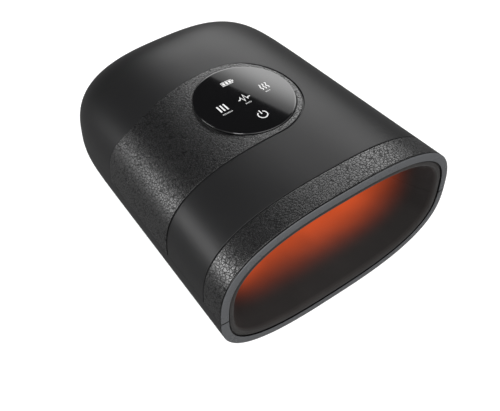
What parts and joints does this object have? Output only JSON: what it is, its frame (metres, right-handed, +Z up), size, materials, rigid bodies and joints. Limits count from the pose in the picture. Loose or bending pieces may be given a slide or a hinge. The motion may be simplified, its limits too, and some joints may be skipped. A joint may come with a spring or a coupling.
{
  "type": "hand massager",
  "caption": "Cordless hand massager: rounded casing with a wide front mouth, fabric-lined hand chamber, press plates and a round touch glass on top.",
  "frame": {"origin": "on the floor under the middle of the bounding box", "axes": "+Z up, -Y out of the mouth where the hand goes in, +Y to the closed rear, +X to the right seen from the mouth"},
  "size_m": [0.17, 0.1952, 0.0963],
  "materials": {
    "soft_touch_casing": "satin soft-touch coating",
    "mouth_ring": "satin",
    "grained_leather": "pebbled grain",
    "touch_glass": "gloss black",
    "adhesive": "matt",
    "black_plastic": "moulded",
    "circuit_board": "solder mask",
    "white_led": "clear lens",
    "ribbon_film": "polyimide",
    "screw_steel": "plated",
    "bag_film": "satin film",
    "plate_plastic": "moulded",
    "heater_film": "polyimide",
    "lining_fabric": "fine knit",
    "motor_steel": "plated",
    "magnet_ferrite": "sintered",
    "bush_brass": "turned",
    "rotor_steel": "ground",
    "white_plastic": "moulded",
    "soft_rubber": "matt",
    "coil_copper": "enamelled winding",
    "silicone_hose": "translucent silicone",
    "cell_wrap": "shrink wrap",
    "lead_sleeve": "insulation",
    "chip_plastic": "epoxy",
    "socket_steel": "plated"
  },
  "bodies": {
    "casing": {"air_tee": "white_plastic", "battery_bracket": "black_plastic", "battery_cell_lower": "cell_wrap", "battery_cell_upper": "cell_wrap", "battery_leads": "lead_sleeve", "case_screws": "screw_steel", "control_glass": "touch_glass", "foot_front_left": "soft_rubber", "foot_front_right": "soft_rubber", "foot_rear_left": "soft_rubber", "foot_rear_right": "soft_rubber", "front_band": "grained_leather", "glass_adhesive": "adhesive", "leather_inlay": "grained_leather", "light_mask": "black_plastic", "liner_retainer": "black_plastic", "lower_airbag": "bag_film", "lower_bag_hose": "silicone_hose", "lower_bezel": "mouth_ring", "lower_frame": "black_plastic", "lower_frame_screws": "screw_steel", "lower_liner": "lining_fabric", "lower_shell": "soft_touch_casing", "main_board": "circuit_board", "main_board_parts": "chip_plastic", "motor_leads": "lead_sleeve", "pump_bushes": "bush_brass", "pump_cap": "white_plastic", "pump_cradle": "black_plastic", "pump_diaphragm": "soft_rubber", "pump_head": "white_plastic", "pump_hose": "silicone_hose", "pump_magnets": "magnet_ferrite", "pump_motor_can": "motor_steel", "pump_wobble_plate": "white_plastic", "status_leds": "white_led", "touch_board": "circuit_board", "touch_ribbon": "ribbon_film", "upper_airbag": "bag_film", "upper_bag_hose": "silicone_hose", "upper_bezel": "mouth_ring", "upper_frame": "black_plastic", "upper_frame_screws": "screw_steel", "upper_liner": "lining_fabric", "upper_shell": "soft_touch_casing", "usb_board": "circuit_board", "usb_socket": "socket_steel", "valve_coil": "coil_copper", "valve_nozzle": "bush_brass", "valve_spring": "screw_steel", "valve_yoke": "motor_steel"},
    "upper_plate": {"upper_press_plate": "plate_plastic", "upper_heat_film": "heater_film"},
    "lower_plate": {"lower_press_plate": "plate_plastic", "lower_heat_film": "heater_film"},
    "pump_rotor": {"pump_rotor": "rotor_steel"},
    "valve_plunger": {"valve_plunger": "rotor_steel"}
  },
  "joints": [
    {"name": "upper_press", "type": "slide", "parent": "casing", "child": "upper_plate", "axis": [0, 0, -1], "range_m": [0, 0.01], "stiffness_N_per_m": 400, "springref_m": -0.004, "deforming": ["upper_airbag", "upper_liner"]},
    {"name": "lower_press", "type": "slide", "parent": "casing", "child": "lower_plate", "axis": [0, 0, 1], "range_m": [0, 0.01], "stiffness_N_per_m": 400, "deforming": ["lower_airbag", "lower_liner"]},
    {"name": "pump_spin", "type": "hinge", "parent": "casing", "child": "pump_rotor", "pos_m": [0.0295, 0.07593, 0.0471], "axis": [1, 0, 0], "continuous": true},
    {"name": "valve_open", "type": "slide", "parent": "casing", "child": "valve_plunger", "axis": [0, 0, -1], "range_m": [0, 0.0008], "stiffness_N_per_m": 200, "springref_m": -0.001, "deforming": ["valve_spring"]}
  ],
  "couplings": [
    {"joint": "lower_press", "follows": "upper_press", "ratio": 1}
  ]
}
